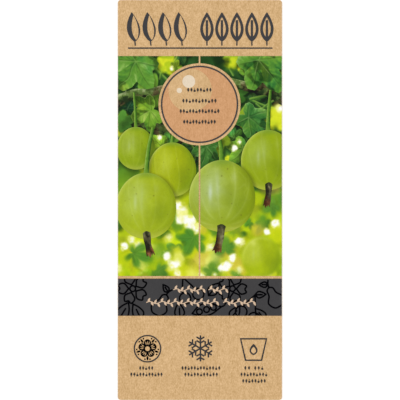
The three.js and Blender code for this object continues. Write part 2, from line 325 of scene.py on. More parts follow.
def sheet(name, drawn, low, high, paint=None):
    """A closed sheet from height low to high, with the drawn area as its face."""
    points, triangles = drawn
    edge = edge_of(triangles)
    rim, folded = np.unique(edge, return_inverse=True)
    folded = folded.reshape(edge.shape)
    flat, back, numbers = triangulate(points[rim], folded.tolist())
    inside = winding(flat[back].mean(1), *points[edge.T]) != 0
    back = numbers[back[inside]] + len(points)
    walls = np.column_stack([folded + len(points), edge[:, ::-1]])
    verts = np.concatenate([np.insert(points, 2, high, 1), np.insert(points[rim], 2, low, 1)])
    obj = piece(name, verts, [*triangles.tolist(), *walls.tolist(), *back[:, ::-1].tolist()])
    if paint is not None:
        colours = np.insert(linear(paint(verts[:, 0], verts[:, 1])), 3, 1, 1)
        layer = obj.data.color_attributes.new("print", "FLOAT_COLOR", "POINT")
        layer.data.foreach_set("color", colours.astype(np.float32).ravel())
    return obj


def finish(obj, ink, *nodes):
    """Gives a piece the material of its ink and its place in the frame. nodes are the solids that it takes
    the place of.
    """
    material, slot = ink
    obj.data.materials.append(material)
    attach(obj, "root")
    if nodes:
        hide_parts(*nodes)


def film(name, drawn, ink, *nodes, low=LOWER, high=UPPER, paint=None):
    """A finished sheet of ink, which fills the lower printed layer unless it is told otherwise."""
    finish(sheet(name, drawn, low, high, paint), ink, *nodes)


# ---- materials ----

def printed(name, colour=None, grain=0.10, cloud=0.02, roughness=0.75, bump=0.15, fibre=0.0, grey=0.0,
            matt=False):
    """Ink or board. Its colour is the given one, or what is painted on the piece, broken by an upright
    grain and by faint clouds. fibre adds the pale and dark fibres of kraft board. grey makes the grain
    greyer than the colour it breaks. A matt ink has no gloss at all."""
    material = bpy.data.materials.new(name)
    material.use_nodes = True
    nodes, links = material.node_tree.nodes, material.node_tree.links

    def fill(node, inputs):
        for socket, value in inputs.items():
            if isinstance(value, bpy.types.NodeSocket):
                links.new(value, node.inputs[socket])
            else:
                node.inputs[socket].default_value = value

    def add(kind, output, inputs, **settings):
        node = nodes.new("ShaderNode" + kind)
        for setting, value in settings.items():
            setattr(node, setting, value)
        fill(node, inputs)
        return node.outputs[output]

    place = add("TexCoord", "Object", {})

    def texture(size, detail, seed):
        move, scale = (seed, seed * 0.7, 0), [1 / (s * MM) for s in size]
        moved = add("Mapping", "Vector", {"Vector": place, "Location": move, "Scale": scale})
        return add("TexNoise", "Fac", {"Vector": moved, "Scale": 1, "Detail": detail, "Roughness": 0.6})

    def spread(value, low, high, start=0.3, end=0.7):
        return add("MapRange", "Result",
                   {"Value": value, "From Min": start, "From Max": end, "To Min": low, "To Max": high})

    def times(a, b):
        return add("Math", "Value", {0: a, 1: b}, operation="MULTIPLY")

    fine = texture((0.38, 0.76, 0.4), 2.5, 3.1)
    share = spread(fine, 1 - grain, 1 + grain)
    share = times(share, spread(texture((1.1, 2.2, 1.1), 1.0, 7.7), 1 - grain / 3, 1 + grain / 3))
    share = times(share, spread(texture((7, 9, 7), 2.0, 11.3), 1 - cloud, 1 + cloud))
    if fibre:
        share = times(share, spread(texture((0.3, 3.0, 0.4), 1.0, 5.7), 1 - fibre, 1, 0.32, 0.42))
        share = times(share, spread(texture((1.9, 0.28, 0.4), 1.0, 8.9), 1, 1 + fibre, 0.60, 0.70))
    if colour is None:
        base = add("VertexColor", "Color", {}, layer_name="print")
    else:
        base = linear(colour, 0.0 if matt else GLOSS) + grey
    tint = add("VectorMath", "Vector", {0: base, "Scale": share}, operation="SCALE")
    if grey:
        tint = add("VectorMath", "Vector", {0: tint, 1: (grey, grey, grey)}, operation="SUBTRACT")
    fill(nodes["Principled BSDF"], {
        "Base Color": tint,
        "Specular IOR Level": 0.0 if matt else 0.18,
        "Roughness": spread(fine, roughness - 0.06, roughness + 0.06),
        "Normal": add("Bump", "Normal", {"Strength": bump, "Distance": 0.02 * MM, "Height": fine}),
    })
    return material


KRAFT = rgb(212, 175, 127)
COPPER = rgb(208, 157, 112)
BLACK = printed("line_ink", rgb(6, 6, 9), roughness=0.8, matt=True)
PICTURE = printed("picture_ink", grain=0.03, cloud=0.015, bump=0.05)
# Each ink is its material and its slot.
KRAFT_BOARD = (printed("kraft_board", KRAFT, 0.108, roughness=0.88, bump=0.4, fibre=0.06, grey=0.3),
               "kraft_board")
DARK_INK = printed("dark_ink", rgb(66, 65, 67), cloud=0.03), "dark_ink"
SMALL_INK = printed("small_ink", rgb(66, 60, 56), cloud=0.03), "dark_ink"
SYMBOL_INK = printed("symbol_ink", rgb(58, 57, 59), cloud=0.03), "dark_ink"
BLOSSOM_INK = BLACK, "dark_ink"
BAND_INK = printed("band_ink", rgb(66, 65, 66), grain=0.08, cloud=0.03, roughness=0.7), "band_ink"
PATTERN_INK = BLACK, "band_ink"
COPPER_INK = printed("copper_ink", COPPER, 0.08, roughness=0.7, fibre=0.03, grey=0.2), "copper_ink"
GLOW_INK = printed("glow_ink", KRAFT, 0.09, roughness=0.8, fibre=0.04, grey=0.25), "sand_ink"
DOT_INK = printed("dot_ink", rgb(231, 214, 189), grain=0.05), "light_ink"
TAN_INK = printed("tan_ink", rgb(215, 187, 159), grain=0.07), "tan_ink"


# ---- board ----

def board():
    """The cut board: its face, its back and its sides, with the cut edges softened."""
    bottom = CARD_LOW[2]
    rows = [(bottom, EDGE), (bottom + 0.4 * EDGE, 0.3 * EDGE), (bottom + EDGE, 0),
            (LOWER - EDGE, 0), (LOWER - 0.4 * EDGE, 0.3 * EDGE), (LOWER, EDGE)]
    rings = [np.insert(rounded(CARD_HIGH[:2] - inset, CORNER - inset), 2, z, 1) for z, inset in rows]
    numbers = np.arange(sum(map(len, rings))).reshape(len(rows), -1)
    faces = [numbers[0][::-1].tolist(), numbers[-1].tolist()]
    for low, high in zip(numbers, numbers[1:]):
        faces += np.stack([low, np.roll(low, -1), np.roll(high, -1), high], -1).tolist()
    finish(piece("board", np.concatenate(rings), faces), KRAFT_BOARD, "card")


board()


# ---- header ----

LEAF_HEIGHT = 11
STALK_LENGTH, STALK_WIDTH = 1.5, 0.42 + 2 * CREEP
FINE_WIDTH, FINE_LEAN = 4.9, -0.11
BOLD_WIDTH, BOLD_STROKE = 5, 1.3
FINE_ROW = -24.4, 5.86, 4  # the first leaf's place, the leaves' pitch and their number
BOLD_ROW = 2.62, 5.62, 5


def places(first, pitch, count):
    return [first + i * pitch for i in range(count)]


def header():
    foot = box("header_leaf_5")[1][1] - LEAF_HEIGHT
    stalk = rectangle(-STALK_WIDTH / 2, -STALK_LENGTH, STALK_WIDTH / 2, STALK_LENGTH)

    def leaning(ring, x):
        return ring + np.column_stack([x + FINE_LEAN * ring[:, 1], np.full(len(ring), foot)])

    outer = pointed_leaf(FINE_WIDTH, LEAF_HEIGHT)
    eye = placed(pointed_leaf(0.52 * FINE_WIDTH - 2 * CREEP, 0.84 * LEAF_HEIGHT),
                 0.12 * FINE_WIDTH, 0.06 * LEAF_HEIGHT)
    leaves = [([leaning(outer, x), leaning(stalk, x)], [leaning(eye, x)]) for x in places(*FINE_ROW)]

    outer = pointed_leaf(BOLD_WIDTH, LEAF_HEIGHT)
    eye = pointed_leaf(BOLD_WIDTH - 1.6 * BOLD_STROKE, LEAF_HEIGHT - 2.6 * BOLD_STROKE)
    half_rib = 0.3 * BOLD_STROKE + CREEP
    over_rib = eye[eye[:, 1] > 0.72 * LEAF_HEIGHT - 1.2 * BOLD_STROKE]
    eyes = [np.maximum(eye, [half_rib, -1]), np.minimum(eye, [-half_rib, LEAF_HEIGHT]), over_rib]
    for x in places(*BOLD_ROW):
        holes = [placed(part, x, foot + 1.2 * BOLD_STROKE) for part in eyes]
        leaves.append(([placed(outer, x, foot), placed(stalk, x, foot)], holes))

    for number, (outlines, holes) in enumerate(leaves, 1):
        film(f"ornament_leaf_{number}", area(outlines, holes), DARK_INK, f"header_leaf_{number}")
    low, high = box("header_rule")
    line = rectangle(low[0], low[1] - CREEP, high[0], high[1] + CREEP)
    film("ornament_rule", area([line]), DARK_INK, "header_rule")


header()


# ---- picture: what is shown ----

class Berry(NamedTuple):
    x: float
    y: float
    rx: float
    ry: float
    pole: tuple  # where the dried flower sits, as seen on a ball of radius 1
    seed: int
    soft: float  # how wide its edge fades
    tones: list
    bloom: float
    veins: float
    furrows: float
    stalk: tuple = ()  # how far aside its end lies, and its length
    tail: tuple = ()  # the same for the dried flower, and its width


class Leaf(NamedTuple):
    x: float
    y: float
    size: float
    turn: float
    side: int  # 1 or -1: which side of its folds is lit
    seed: int
    soft: float
    tones: list
    wide: float = 1
    tall: float = 1
    gloom: float = 0  # how much it darkens what is behind it


class Twig(NamedTuple):
    points: list
    width: float
    seed: int
    thorns: list  # each one's place, turn and length


# From the nearest to the farthest.
BERRIES = {
    "berry_front": Berry(8.3, 1.5, 12.4, 13.5, (-0.02, -0.80), 3, 0.12,
                         tones((132, 152, 24), (151, 170, 46), (168, 188, 92)),
                         bloom=0.78, veins=0.9, furrows=0.1, stalk=(-1.2, 9), tail=(-2, 7.4, 3.4)),
    "berry_left": Berry(-20.2, -2.2, 11.3, 12.4, (0.02, -0.86), 11, 0.15,
                        tones((148, 167, 28), (160, 177, 34), (174, 192, 70)),
                        bloom=0.38, veins=0.6, furrows=0.25, stalk=(2.6, 17), tail=(1.8, 6.2, 3.2)),
    "berry_right": Berry(25.5, 15, 10.1, 11.3, (0.04, -0.90), 19, 0.2,
                         tones((128, 151, 18), (144, 165, 24), (156, 177, 56)),
                         bloom=0.34, veins=0.45, furrows=0.5, stalk=(1, 15), tail=(-0.6, 6, 2.8)),
    "berry_behind": Berry(-10.4, 11.4, 9, 10.2, (0.1, -0.95), 27, 0.2,
                          tones((130, 153, 26), (158, 172, 16), (180, 192, 50)),
                          bloom=0.1, veins=0.5, furrows=1.0, stalk=(0.6, 4)),
    "berry_small": Berry(-24, 19.4, 7.2, 8, (-0.1, -0.95), 35, 0.3,
                         tones((112, 141, 26), (142, 165, 28), (162, 182, 60)),
                         bloom=0.25, veins=0.6, furrows=0.5, stalk=(-0.8, 13)),
    "berry_far": Berry(23, -21.4, 8.2, 8.6, (0.0, -0.97), 43, 1.7,
                       tones((138, 163, 22), (166, 185, 24), (188, 201, 64)),
                       bloom=0.15, veins=0.0, furrows=0.0),
}

SHADED = tones((30, 66, 34), (58, 108, 42), (116, 160, 86))
PLAIN = tones((34, 76, 34), (70, 122, 46), (140, 180, 90))
FRESH = tones((46, 98, 38), (94, 146, 50), (164, 198, 108))
BRIGHT = tones((58, 106, 34), (108, 156, 44), (178, 204, 96))
SOFT_GREEN = tones((58, 112, 40), (84, 140, 42), (134, 178, 52))
LEAVES = {
    "leaf_top_left": Leaf(-24, 52, 14, 2.6, 1, 1, 0.15, FRESH, tall=0.9),
    "leaf_top_right": Leaf(22, 52.5, 15, -2.5, -1, 2, 0.15, FRESH, wide=0.85),
    "leaf_side_left": Leaf(-18.5, 33.5, 10, 2.0, 1, 3, 0.2, BRIGHT, tall=0.8),
    "leaf_side_right": Leaf(18.2, 31, 10.5, -2.2, -1, 4, 0.2, PLAIN, wide=0.8),
    "leaf_middle": Leaf(2.6, 20, 8.5, 2.9, 1, 5, 0.2, SHADED, wide=0.8),
    "leaf_low_left": Leaf(-25, -20, 9, -1.9, 1, 6, 3.6, SOFT_GREEN, wide=0.85),
    "leaf_low_middle": Leaf(-2.5, -14, 9.5, 2.7, -1, 7, 3.0, SOFT_GREEN, tall=0.85),
}
TWIGS = {
    "twig_left": Twig([(-32, 36.6), (-25, 39.6), (-18, 40.4), (-9, 43.5)], 4.4, 61,
                      [(-27.5, 40, 0.3, 3.4), (-19.6, 41.4, -0.3, 3)]),
    "twig_right": Twig([(32, 37.6), (25, 41.4), (18, 42.4), (8, 45.5)], 5, 67,
                       [(27.5, 41.4, -0.5, 3.6), (20, 42.2, 2.9, 3.2)]),
}

# Thick mossy branches of the backdrop: points, and how thick.
BRANCHES = [
    ([(11, 58), (19, 48.5), (27, 41), (34, 29)], 6.4),
    ([(-34, 25.5), (-26, 29), (-18, 27.5), (-8, 23)], 4.6),
]
# Leaf stalks behind the backdrop's nearer leaves, and fresh ones in front: points, and how thick.
STEMS = [
    ([(-20, 55), (-17.5, 50), (-12.5, 45)], 1.1), ([(-11, 55), (-13.5, 50.5), (-15, 45.5)], 0.9),
    ([(-8, 56), (-9, 52.8), (-11.5, 50)], 0.7), ([(12.5, 55), (11, 50.5), (12.5, 47)], 1.0),
    ([(31, 33.5), (25, 35), (19, 37.5)], 0.9), ([(31.5, 30.5), (26.5, 31.6), (21, 36)], 0.7),
    ([(-31, 31.5), (-27, 30), (-22.5, 33)], 0.8), ([(9, 25), (13.5, 21.5), (15.5, 14)], 0.8),
    ([(-4, 22), (-2, 18), (-2.5, 12)], 0.7), ([(-31, 26), (-29, 20), (-31, 12)], 0.8),
]
FRONT_STEMS = [
    ([(31.5, 42.5), (26, 39.6), (19, 37.8)], 1.1), ([(31.5, 38.6), (27, 36.9), (22.5, 33.6)], 0.8),
    ([(-31, 49.5), (-24, 46.5), (-16.5, 41)], 0.9),
]
# Sunlit gaps among the upper leaves, and the same in front of them: x, y, radius, softness.
SUNLIT = [
    (-27.4, 45.4, 2.1, 1.0), (-12.4, 52.0, 3.2, 1.0), (-9.0, 48.5, 2.0, 0.8), (29.2, 30.4, 4.6, 1.2),
    (26.2, 26.6, 1.8, 0.8), (-29.6, 30.6, 1.6, 0.7), (10.6, 15.2, 1.2, 0.5), (12.4, 52.5, 2.6, 0.8),
    (-30.5, 26.0, 1.6, 0.8), (8.4, 24.0, 1.4, 0.6), (30.2, 42.6, 2.4, 0.8), (15.5, 49.6, 1.2, 0.5),
]
FRONT_LIGHT = [
    (29.8, 45.2, 2.6, 0.9), (30.6, 39.0, 1.8, 0.7), (26.8, 42.2, 1.2, 0.6), (12.4, 51.8, 1.6, 1.2),
]
# Sky seen through the foliage: x, y, radius, softness.
GLINTS = [
    (30.6, 35.0, 1.9, 0.9), (12.8, 19.6, 1.0, 0.4), (14.7, 21.8, 0.7, 0.4), (-15.0, 23.4, 0.8, 0.4),
    (-10.6, 49.4, 0.6, 0.4), (-6.4, -5.2, 2.7, 0.9), (-3.6, -8.4, 2.1, 0.8), (-8.3, -2.4, 1.4, 0.7),
    (-1.2, -10.6, 1.5, 0.7), (-28.6, -17.2, 1.3, 0.6), (-12.4, -21.4, 1.7, 0.7), (-9.6, -24.4, 2.2, 0.9),
    (9.6, -24.8, 1.9, 0.7), (12.2, -21.6, 1.2, 0.6), (14.4, -15.6, 1.4, 0.6), (28.2, -8.6, 1.5, 0.7),
    (24.8, -11.6, 1.2, 0.5),
]
# Soft dark leaves low down in the garden: x, y, size.
LOW_SHADE = [
    (9.5, -18.5, 6.5), (27.5, -2.0, 5.5), (-15.5, -26.5, 5.0), (4.5, -27.5, 5.0), (14.5, -28.5, 4.5),
]


# ---- picture: painting ----

# A leaf's lobes: angle from its tip, length, width.
LOBES = [(0, 1.0, 0.5), (1, 0.88, 0.46), (-1, 0.88, 0.46), (2, 0.64, 0.46), (-2, 0.64, 0.46)]
LEAF_HEART = 0.42
SUN = np.array([-0.62, 0.78])  # where the light comes from, across the picture
SHADOW = 0.8 * SUN  # how far off a thing's shadow is looked for


def lobed_reach(angle, leaf):
    """How far a five-lobed leaf reaches from the end of its stalk, at an angle from its tip."""
    lobes = [(length - LEAF_HEART) * bell(angle - at, width) for at, length, width in LOBES]
    notch = 1 - 0.6 * bell(np.abs(angle) - math.pi, 0.4)
    teeth = 0.035 if leaf.soft < 1 else 0.0
    return leaf.size * (LEAF_HEART + np.max(lobes, 0)) * notch * (1 - teeth * np.abs(np.cos(13 * angle)))


def leaf_place(x, y, leaf):
    """A point's place in a leaf's own frame, its distance and angle there, and how deep inside it lies."""
    p = turned(np.stack([x - leaf.x, y - leaf.y], -1), -leaf.turn) / [leaf.wide, leaf.tall]
    reach, angle = np.hypot(*p.T), np.arctan2(*p.T)
    return p, reach, angle, lobed_reach(angle, leaf) - reach


def leaf_paint(x, y, leaf):
    """The face of a lobed leaf: each lobe folds along its vein and puckers between its side veins."""
    p, reach, angle, depth = leaf_place(x, y, leaf)
    size, seed = leaf.size, leaf.seed
    sway = noise(p[:, 0] / (0.45 * size), p[:, 1] / (0.45 * size), seed + 1)
    angle = angle + 0.15 * sway * smooth(0, 0.5 * size, reach)
    away = [np.abs(angle - at) / (0.9 + 0.35 * length) for at, length, _ in LOBES]
    at, length, _ = np.array(LOBES)[np.argmin(away, 0)].T
    along, across = reach * np.cos(angle - at), reach * np.sin(angle - at)
    share = np.clip(along / (length * size), 0, 1)

    to_right = turned(np.stack([np.cos(at), -np.sin(at)], -1), leaf.turn) @ SUN
    fold = -np.tanh(across / (0.16 * size)) * to_right * leaf.side
    gap = 0.17 * size
    phase = (along - 0.8 * np.abs(across)) / gap + 0.25 * np.sign(across)
    phase = phase + 0.22 * noise(along, across, seed + 2)
    pucker = -np.cos(2 * math.pi * phase) * smooth(0.2, 1.2, np.abs(across)) * smooth(0, 0.3, share)
    slope = (p @ turned(SUN, -leaf.turn)) / size
    light = 0.46 + 0.26 * fold + 0.09 * pucker + 0.16 * slope + 0.52 * clouds(x, y, 6.5, seed + 5, 4)
    light = light - 0.16 * smooth(0.3 * size, 0, reach) + 0.10 * clouds(x, y, 1.3, seed + 6, 3)
    colour = toned(leaf.tones, light, -0.05, 0.5, 0.45, 1.0)
    cool = smooth(0.0, 0.5, clouds(x, y, 9, seed + 11, 2))
    colour = colour * mix(1, np.array([0.80, 0.98, 1.22]), cool)
    glow = smooth(0.05, 0.5, clouds(x, y, 7, seed + 8, 2)) * smooth(0.3, 0.75, light)
    colour = mix(colour, rgb(172, 202, 44), 0.5 * glow)
    dapple = smooth(0.10, 0.26, clouds(x + 0.3 * y, y, 5.5, seed + 12, 3))
    colour = scaled(colour, 1 - 0.34 * dapple)

    clear = 0.55 + 0.45 * noise(along / 2.5, at * 3.0, seed + 3)
    main_vein = bell(across, 0.07 + 0.15 * (1 - share)) * smooth(1.0, 0.7, share) * clear
    side_vein = bell((phase - np.round(phase)) * gap * 0.75, 0.10) * smooth(0.0, 0.4, np.abs(across))
    side_vein = side_vein * smooth(0.1, 1.0, depth) * clear
    beside = bell(across * leaf.side - 0.34, 0.24) * smooth(1.0, 0.7, share)
    pale = mix(leaf.tones[2], rgb(204, 218, 150), 0.5)
    colour = scaled(colour, 1 - 0.20 * beside)
    colour = mix(colour, pale, 0.46 * main_vein + 0.18 * side_vein * (1 - main_vein))
    lit_edge = smooth(-0.3, 0.7, slope / (reach / size + 0.1))
    colour = mix(colour, pale, (0.10 + 0.40 * lit_edge) * bell(depth, 0.20))
    return scaled(colour, 1 + 0.07 * clouds(x, y, 0.8, seed + 9, 3))


def soft_leaf(colour, x, y, leaf):
    """Paints one leaf of the backdrop over what is there."""
    near = (np.abs(x - leaf.x) < leaf.size + 2) & (np.abs(y - leaf.y) < leaf.size + 2)
    x, y = x[near], y[near]
    p, _, _, depth = leaf_place(x, y, leaf)
    face = leaf_paint(x, y, leaf)
    if leaf.soft > 0.8:
        shade = 0.5 + 0.4 * (p @ turned(SUN, -leaf.turn)) / leaf.size + 0.2 * clouds(x, y, 4, leaf.seed)
        face = mix(face, mix(leaf.tones[0], leaf.tones[2], np.clip(shade, 0, 1)), 0.8)
    shadow = leaf_place(x + SHADOW[0], y + SHADOW[1], leaf)[3]
    under = scaled(colour[near], 1 - leaf.gloom * smooth(-1.6, 0.4, shadow))
    colour[near] = mix(under, face, smooth(-leaf.soft / 2, leaf.soft / 2, depth))


def leafage(seed, count, region, sizes, colours, softness, gloom):
    """Leaves strewn at random over a region (left, right, bottom, top), most of them in the order of their
    colours."""
    rng = np.random.default_rng(seed)
    left, right, bottom, top = region
    leaves = []
    for i in range(count):
        place = int(len(colours) * (i + rng.uniform(-0.2, 0.2) * count) / count)
        tone = colours[min(place, len(colours) - 1)]
        leaves.append(Leaf(
            x=rng.uniform(left, right), y=rng.uniform(bottom, top), turn=rng.uniform(0, 2 * math.pi),
            size=rng.uniform(*sizes), soft=rng.uniform(*softness), seed=int(rng.integers(1000)),
            wide=rng.uniform(0.55, 1), tall=rng.uniform(0.7, 1), side=rng.choice([-1, 1]),
            tones=[tone * 0.55, tone, np.minimum(tone * 1.35 + 0.04, 1)], gloom=gloom))
    return leaves


HIGH_TONES = tones((38, 74, 36), (48, 92, 40), (60, 110, 42), (76, 130, 44), (106, 154, 46), (150, 186, 42))
LOW_TONES = tones((84, 136, 30), (112, 160, 24), (88, 142, 36), (162, 194, 20), (72, 126, 40))
HIGH_LEAVES = leafage(20, 56, (-33, 33, 15, 56), (4.5, 10.5), HIGH_TONES, (0.3, 1.5), 0.35)
LOW_LEAVES = leafage(33, 34, (-33, 33, -31, 12), (3.0, 7.5), LOW_TONES, (1.2, 3.0), 0.12)
SHADE_LEAVES = [Leaf(*place, 2.1 * i, 1, 70 + i, 2.8, SOFT_GREEN, 0.9, 0.8, 0.1)
                for i, place in enumerate(LOW_SHADE)]


def along_path(x, y, path):
    """For each point how far along a path it lies, from 0 to 1, and how far off to the path's left."""
    best, share, off = np.full(x.shape, 1e9), np.zeros(x.shape), np.zeros(x.shape)
    for i in range(len(path) - 1):
        a, d = path[i], path[i + 1] - path[i]
        t = np.clip(((x - a[0]) * d[0] + (y - a[1]) * d[1]) / (d @ d), 0, 1)
        away = np.hypot(x - a[0] - t * d[0], y - a[1] - t * d[1])
        closer = away < best
        best = np.where(closer, away, best)
        share = np.where(closer, (i + t) / (len(path) - 1), share)
        off = np.where(closer, np.sign(d[0] * (y - a[1]) - d[1] * (x - a[0])) * away, off)
    return share, off


def length_of(path):
    return np.linalg.norm(np.diff(path, axis=0), axis=1).sum()


def bark_paint(x, y, share, across, length, seed):
    """Mossy bark. across runs from -1 on the side away from the light to 1 on the lit side."""
    rough = clouds(share * length * 1.1, across * 2.5, 2.4, seed, 4)
    cracks = 1 - np.abs(noise(share * length / 1.6, across * 2.2, seed + 4))
    light = 0.46 + 0.34 * across + 0.60 * rough - 0.28 * smooth(0.8, 1.0, cracks)
    bark = toned(tones((30, 30, 20), (82, 74, 46), (142, 134, 96)), light, 0.05, 0.5, 0.55, 1.0)
    moss = smooth(-0.25, 0.2, clouds(x, y, 2.4, seed + 7, 4) + 0.3 * across)
    green = mix(rgb(38, 56, 30), rgb(94, 122, 58), smooth(0.05, 0.5, light))
    tips = light + 0.25 * noise(x / 0.5, y / 0.8, seed + 9)
    green = mix(green, rgb(154, 174, 116), smooth(0.5, 1.05, tips))
    return mix(bark, green, 0.9 * moss)


def branch_paint(colour, x, y, points, thick, seed):
    """A mossy branch of the backdrop, with ragged edges."""
    path = spline(points, 40)
    share, off = along_path(x, y, path)
    bark = bark_paint(x, y, share, np.clip(off / (thick / 2), -1, 1), length_of(path), seed)
    ragged = np.abs(off) + 0.6 * clouds(x, y, 1.6, seed, 3)
    return mix(colour, bark, smooth(thick / 2 + 0.2, thick / 2 - 0.4, ragged))


def stem_paint(colour, x, y, points, thick):
    """Paints a leaf's stalk, lit along its upper side."""
    low, high = np.min(points, 0) - thick, np.max(points, 0) + thick
    near = (x > low[0]) & (x < high[0]) & (y > low[1]) & (y < high[1])
    share, off = along_path(x[near], y[near], spline(points, 16))
    upper = 1 if points[-1][0] > points[0][0] else -1
    light = 0.5 + 0.8 * upper * off / thick + 0.2 * noise(share * 6, share, 7)
    green = toned(tones((58, 100, 40), (112, 154, 58), (176, 202, 122)), light, 0.1, 0.6, 0.6, 1.0)
    colour[near] = mix(colour[near], green, smooth(thick / 2 + 0.15, thick / 2 - 0.15, np.abs(off)))


def spot(colour, x, y, place, tone, halo, white, seed):
    """Paints a ragged spot of light with a soft halo."""
    px, py, radius, soft = place
    reach = 1.8 * radius + 2.4 * soft
    near = (np.abs(x - px) < reach) & (np.abs(y - py) < reach)
    x, y = x[near], y[near]
    away = np.hypot(x - px, (y - py) * 0.92) + 0.7 * radius * clouds(x, y, 1.5 * radius, seed, 3)
    under = mix(colour[near], halo, 0.55 * smooth(radius + 2.2 * soft, radius * 0.5, away))
    uneven = mix(tone, halo, 0.6 * smooth(0.05, 0.55, clouds(x, y, 0.9 * radius, seed + 5, 2)))
    colour[near] = mix(under, uneven, white * smooth(radius + 1.0 * soft, radius - 0.9 * soft, away))


def sunlight(colour, x, y):
    """Paints soft discs of light through the leaves, soft leaves over them, then the glints of sky."""
    rng = np.random.default_rng(52)
    lights = tones((200, 214, 20), (224, 226, 50), (190, 208, 8), (236, 238, 120), (206, 190, 66),
                   (110, 158, 38), (82, 134, 44), (150, 162, 34))
    for i in range(110):
        place = rng.uniform(-32, 32), rng.uniform(-30, 6), rng.uniform(0.6, 2.8), rng.uniform(0.5, 1.8)
        tone = lights[rng.integers(len(lights))]
        spot(colour, x, y, place, tone, tone, rng.uniform(0.2, 0.7), 200 + i)
    for leaf in SHADE_LEAVES:
        soft_leaf(colour, x, y, leaf)
    for i in range(14):
        place = rng.uniform(-31, 31), rng.uniform(-29, -10), rng.uniform(0.4, 1.3), rng.uniform(0.4, 1.0)
        spot(colour, x, y, place, rgb(253, 253, 236), rgb(238, 238, 96), rng.uniform(0.5, 1), 400 + i)
    for i, place in enumerate(GLINTS):
        spot(colour, x, y, place, rgb(254, 254, 246), rgb(236, 238, 84), 1.0, 97 + i)


# The garden's own colour, from the bottom of the picture to its top: heights, and the colours there.
GARDEN_HEIGHTS = [-30, -16, -6, 4, 14, 30, 54]
GARDEN_TONES = tones((156, 190, 16), (184, 206, 20), (168, 194, 26), (114, 154, 34), (60, 106, 38),
                     (44, 82, 36), (42, 80, 36))


def backdrop(x, y):
    """The garden behind, out of focus: dark leaves above, sunlit ones and glints of sky below."""
    bend = y + 3.5 * clouds(x, y, 14, 71, 3)
    colour = np.stack([np.interp(bend, GARDEN_HEIGHTS, c) for c in np.transpose(GARDEN_TONES)], -1)
    colour = scaled(colour, 1 + 0.24 * clouds(x, y, 5, 77, 3))
    half = len(HIGH_LEAVES) // 2
    for leaf in HIGH_LEAVES[:half]:
        soft_leaf(colour, x, y, leaf)
    for i, branch in enumerate(BRANCHES):
        colour = branch_paint(colour, x, y, *branch, 40 + 10 * i)
    for stem in STEMS:
        stem_paint(colour, x, y, *stem)
    for i, place in enumerate(SUNLIT):
        spot(colour, x, y, place, rgb(226, 232, 44), rgb(158, 190, 30), 0.9, 61 + i)
    for leaf in HIGH_LEAVES[half:]:
        soft_leaf(colour, x, y, leaf)
    for i, place in enumerate(FRONT_LIGHT):
        spot(colour, x, y, place, rgb(216, 226, 40), rgb(140, 180, 34), 0.85, 81 + i)
    for stem in FRONT_STEMS:
        stem_paint(colour, x, y, *stem)
    colour = mix(colour, colour * 0.62, smooth(0.1, 0.6, clouds(x, y, 7, 12, 3)) * smooth(8, 18, y))
    for leaf in LOW_LEAVES:
        soft_leaf(colour, x, y, leaf)
    sunlight(colour, x, y)
    return colour


VEINS = 11  # on a berry
# The branches that leave a vein on its way up: to which side, and at what height.
VEIN_BRANCHES = (1, 0.35), (-1, 0.05), (1, -0.3)


def berry_veins(height, girth, longitude, seed, rng):
    """A berry's pale veins, from its stalk to its flower, and the furrows beside some of them."""
    veins, furrows = np.zeros(height.shape), np.zeros(height.shape)
    for i in range(VEINS):
        at = 2 * math.pi * (i + 0.3 * rng.uniform(-1, 1)) / VEINS + 0.06 * np.sin(2.6 * height + i)
        gap = np.angle(np.exp(1j * (longitude - at))) * girth
        strength, width = rng.uniform(0.35, 1), rng.uniform(0.02, 0.04)
        vein = 0.75 * bell(gap, width) + 0.5 * bell(gap, 3.2 * width)
        for side, start in VEIN_BRANCHES:
            rise = np.clip(start + rng.uniform(-0.1, 0.1) - height, 0, 1)
            branch = bell(gap - side * 0.42 * rise, 0.7 * width) * smooth(0.02, 0.12, rise)
            vein = np.maximum(vein, 0.45 * (branch * smooth(0.6, 0.35, rise)))
        veins = np.maximum(veins, strength * vein)
        if i % 3 == 1:
            furrows = np.maximum(furrows, bell(gap - 0.12 * girth, 0.02) * smooth(0.5, -0.3, height))
    bend = longitude * 3.4 + 0.6 * noise(height * 5, longitude, seed)
    net = 1 - np.abs(noise(bend, height * 3.4, seed + 2))
    return np.maximum(veins, 0.35 * smooth(0.82, 1.0, net)), furrows


def berry_light(colour, u, v, out, shine, hollow, berry):
    """What light does to a berry: its bloom and its shines, its bright and dull rims, and a dull hollow."""
    bloom = berry.bloom
    colour = mix(colour, rgb(184, 202, 150), 0.55 * bloom * bell(shine, 0.40))
    colour = mix(colour, rgb(206, 221, 206), 0.80 * bloom * bell(u + 0.36, 0.060) * bell(v - 0.10, 0.24))
    colour = mix(colour, rgb(190, 206, 168), 0.45 * bloom * bell(u + 0.14, 0.06) * bell(v - 0.28, 0.34))
    colour = mix(colour, rgb(196, 210, 160), 0.40 * bloom * bell(u - 0.36, 0.10) * bell(v - 0.52, 0.16))
    rim = smooth(0.84, 1.0, out)
    lit = smooth(-0.3, 0.8, -0.6 * u + 0.6 * v)
    colour = mix(colour, rgb(198, 210, 112), 0.45 * rim * lit + 0.35 * smooth(0.955, 1.0, out) * lit)
    colour = mix(colour, berry.tones[0] * 0.86, 0.6 * rim * (1 - lit) * smooth(-0.8, -0.2, v))
    colour = mix(colour, rgb(196, 200, 92), 0.55 * smooth(-0.55, -1.0, v) * smooth(0.6, 1.0, out))
    colour = mix(colour, rgb(98, 136, 40), 0.55 * smooth(0.74, 1.0, v) * bell(u, 0.45))
    return mix(colour, rgb(100, 124, 24), 0.30 * bell(hollow, 0.34))


